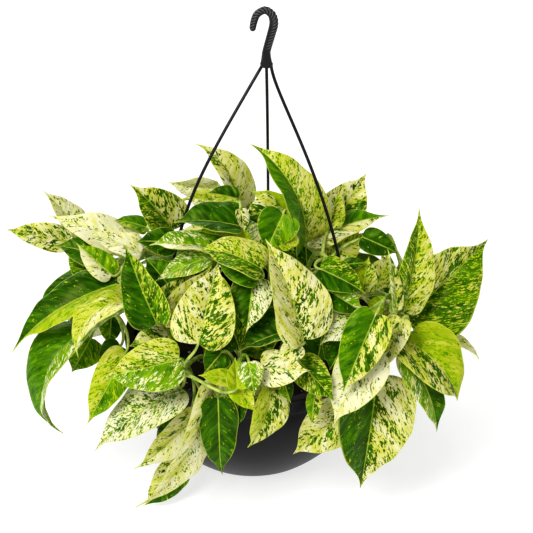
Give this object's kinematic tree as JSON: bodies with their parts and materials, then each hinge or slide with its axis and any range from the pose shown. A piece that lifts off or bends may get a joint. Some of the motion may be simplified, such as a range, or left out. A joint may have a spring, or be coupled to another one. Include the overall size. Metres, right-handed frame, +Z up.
{
  "type": "potted marble queen pothos",
  "caption": "Marble queen pothos with cream and green marbled leaves in a black plastic hanging pot with a hook.",
  "frame": {"origin": "centre of the pot's underside, on the level surface that it stands on", "axes": "+Z up along the pot's axis, -Y towards the viewer's front, +X to the viewer's right"},
  "size_m": [0.4351, 0.3225, 0.4378],
  "materials": {
    "pot_plastic": "satin",
    "soil": "rough",
    "hanger_plastic": "satin",
    "foliage": "gloss"
  },
  "bodies": {
    "root": {"pot": "pot_plastic", "soil": "soil", "hanger_hook": "hanger_plastic", "strand_left": "hanger_plastic", "strand_back": "hanger_plastic", "strand_right": "hanger_plastic", "vine_front_left": "foliage", "vine_front_middle": "foliage", "vine_front_centre": "foliage", "vine_front_right": "foliage", "vine_right_low": "foliage", "vine_right_high": "foliage", "vine_top_right": "foliage", "vine_top_middle": "foliage", "vine_top_left": "foliage", "vine_middle": "foliage", "vine_middle_left": "foliage", "vine_left": "foliage", "vine_left_high": "foliage", "vine_far_left": "foliage", "vine_back_left": "foliage", "vine_back_middle": "foliage", "vine_back_right": "foliage", "vine_right_back": "foliage"}
  },
  "joints": []
}
